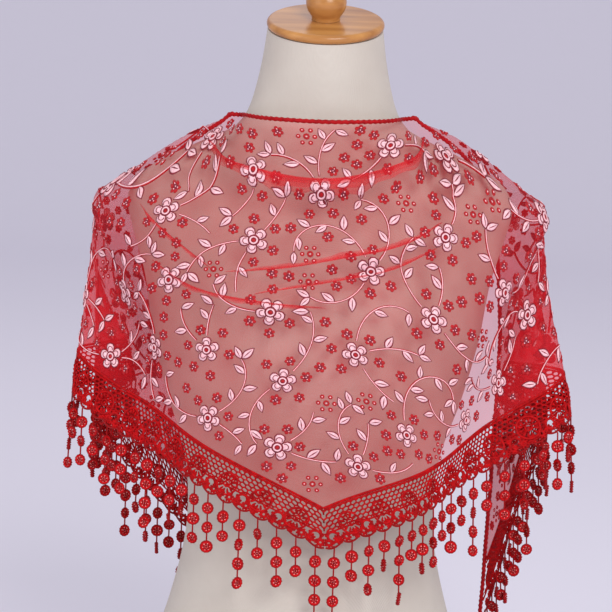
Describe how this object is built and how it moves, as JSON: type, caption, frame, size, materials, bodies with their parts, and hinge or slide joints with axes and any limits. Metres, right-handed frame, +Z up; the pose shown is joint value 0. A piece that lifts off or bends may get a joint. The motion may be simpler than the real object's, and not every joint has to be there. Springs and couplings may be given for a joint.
{
  "type": "lace shawl on a limbless dress form",
  "caption": "Sheer embroidered triangular shawl with lace border and disc-drop fringe, draped front-ways over a limbless dress form that stands on a flat base",
  "frame": {"origin": "middle of the form's flat base, on the surface it stands on", "axes": "+Z up along the form, the shawl's front point faces -Y, +X is the viewer's right"},
  "size_m": [0.4741, 0.2542, 0.712],
  "materials": {
    "net": "sheer red net with pink and red embroidery",
    "lace": "corded red lace, slight sheen",
    "fringe": "corded red rosettes on thin cords",
    "linen": "plain matt linen",
    "wood": "satin varnish"
  },
  "bodies": {
    "root": {"form_body": "linen", "form_neck_cap": "wood", "form_cap_knob": "wood", "shawl_net_front": "net", "shawl_net_right_side": "net", "shawl_net_right_tail": "net", "shawl_net_left_side": "net", "shawl_net_left_tail": "net", "hem_roll_front": "lace", "hem_roll_right": "lace", "hem_roll_left": "lace", "lace_border_right_front": "lace", "lace_border_right_side": "lace", "lace_border_right_tail": "lace", "lace_border_left_front": "lace", "lace_border_left_side": "lace", "lace_border_left_tail": "lace", "fringe_right_front": "fringe", "fringe_right_side": "fringe", "fringe_right_tail": "fringe", "fringe_left_front": "fringe", "fringe_left_side": "fringe", "fringe_left_tail": "fringe"}
  },
  "joints": []
}
